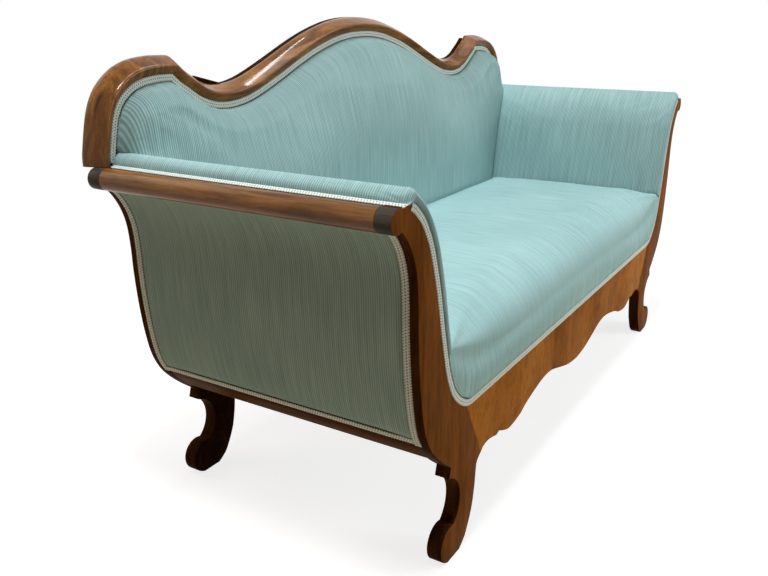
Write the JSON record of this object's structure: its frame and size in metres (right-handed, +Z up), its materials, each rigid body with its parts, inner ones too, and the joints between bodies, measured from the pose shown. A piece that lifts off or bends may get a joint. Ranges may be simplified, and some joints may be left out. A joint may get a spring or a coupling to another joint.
{
  "type": "recamier sofa",
  "caption": "Upholstered settee with a wavy show-wood back frame, roll-top S-shaped ends, scalloped front rail and scroll feet, for sitting or reclining.",
  "frame": {"origin": "on the floor, under the middle of the bounding box", "axes": "+X along the sofa to the right-hand end as seen from the front, +Y from the front to the back, +Z up"},
  "size_m": [1.842, 0.7032, 1.005],
  "materials": {
    "polished_walnut": "glossy, French polished",
    "figured_veneer": "satin, in patches of lighter and darker figure",
    "dark_walnut": "satin, stained dark",
    "beech": "raw, planed",
    "ribbed_fabric": "fine ribbed weave with a soft sheen",
    "woven_braid": "woven with small loops",
    "jute": "raw, coarse weave",
    "steel": "drawn wire",
    "black_cloth": "matt"
  },
  "bodies": {
    "root": {"front_post_left": "polished_walnut", "front_post_right": "polished_walnut", "rear_post_left": "dark_walnut", "rear_post_right": "dark_walnut", "arm_roll_left": "polished_walnut", "arm_roll_right": "polished_walnut", "end_rail_left": "dark_walnut", "end_rail_right": "dark_walnut", "arm_rail_left": "beech", "arm_rail_right": "beech", "arm_base_rail_left": "beech", "arm_base_rail_right": "beech", "front_rail": "figured_veneer", "rear_rail": "beech", "corner_blocks": "beech", "web_battens": "beech", "frame_dowels": "beech", "crest_rail": "polished_walnut", "back_ear_left": "polished_walnut", "back_ear_right": "polished_walnut", "crest_backing": "dark_walnut", "back_top_board": "beech", "back_uprights": "beech", "back_bottom_board": "beech", "back_screws": "steel", "seat_webbing": "jute", "seat_springs": "steel", "seat_hessian": "jute", "seat_cushion": "ribbed_fabric", "dust_cover": "black_cloth", "back_webbing": "jute", "back_hessian": "jute", "back_pad": "ribbed_fabric", "outside_back_cover": "ribbed_fabric", "arm_hessian_left": "jute", "arm_hessian_right": "jute", "arm_pad_left": "ribbed_fabric", "arm_pad_right": "ribbed_fabric", "outside_arm_cover_left": "ribbed_fabric", "outside_arm_cover_right": "ribbed_fabric", "gimp_front": "woven_braid", "gimp_back": "woven_braid", "gimp_arm_left": "woven_braid", "gimp_arm_right": "woven_braid", "gimp_end_left": "woven_braid", "gimp_end_right": "woven_braid"}
  },
  "joints": []
}
